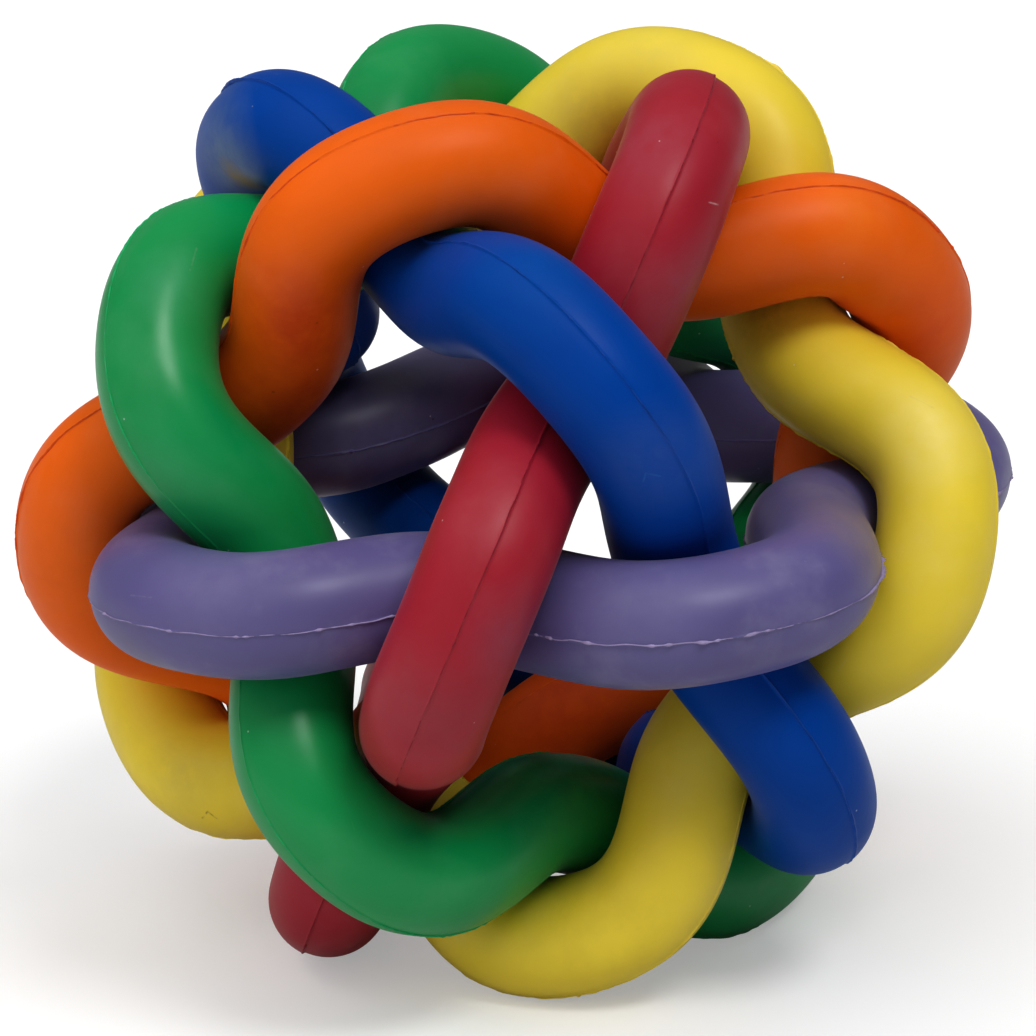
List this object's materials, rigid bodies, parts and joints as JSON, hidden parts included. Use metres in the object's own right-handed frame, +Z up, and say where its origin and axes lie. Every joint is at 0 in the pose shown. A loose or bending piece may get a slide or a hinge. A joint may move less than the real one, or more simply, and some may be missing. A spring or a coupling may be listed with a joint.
{
  "type": "woven ring ball",
  "caption": "Ball woven from interlinked wavy rubber rings that pass over and under one another around open five-sided windows; a soft toy to grip, toss and chew.",
  "frame": {"origin": "centre of the ball", "axes": "+Z up along the axis of the level purple ring, which is a fivefold axis of the weave; +X through one crest of the purple ring"},
  "size_m": [0.1, 0.0974, 0.0886],
  "materials": {
    "red_rubber": "satin moulded rubber",
    "orange_rubber": "satin moulded rubber",
    "yellow_rubber": "satin moulded rubber",
    "green_rubber": "satin moulded rubber",
    "blue_rubber": "satin moulded rubber",
    "purple_rubber": "satin moulded rubber"
  },
  "bodies": {
    "red_ring": {"red_ring": "red_rubber"},
    "orange_ring": {"orange_ring": "orange_rubber"},
    "yellow_ring": {"yellow_ring": "yellow_rubber"},
    "green_ring": {"green_ring": "green_rubber"},
    "blue_ring": {"blue_ring": "blue_rubber"},
    "purple_ring": {"purple_ring": "purple_rubber"}
  },
  "joints": [
    {"name": "red_ring_creep", "type": "hinge", "parent": "purple_ring", "child": "red_ring", "pos_m": [0, 0, 0], "axis": [-0.8507, 0.2764, 0.4472], "range_deg": [-0.8, 0.8], "stiffness_Nm_per_rad": 2},
    {"name": "orange_ring_creep", "type": "hinge", "parent": "purple_ring", "child": "orange_ring", "pos_m": [0, 0, 0], "axis": [0, 0.8944, 0.4472], "range_deg": [-0.8, 0.8], "stiffness_Nm_per_rad": 2},
    {"name": "yellow_ring_creep", "type": "hinge", "parent": "purple_ring", "child": "yellow_ring", "pos_m": [0, 0, 0], "axis": [-0.5257, -0.7236, 0.4472], "range_deg": [-0.8, 0.8], "stiffness_Nm_per_rad": 2},
    {"name": "green_ring_creep", "type": "hinge", "parent": "purple_ring", "child": "green_ring", "pos_m": [0, 0, 0], "axis": [0.5257, -0.7236, 0.4472], "range_deg": [-0.8, 0.8], "stiffness_Nm_per_rad": 2},
    {"name": "blue_ring_creep", "type": "hinge", "parent": "purple_ring", "child": "blue_ring", "pos_m": [0, 0, 0], "axis": [0.8507, 0.2764, 0.4472], "range_deg": [-0.8, 0.8], "stiffness_Nm_per_rad": 2}
  ]
}
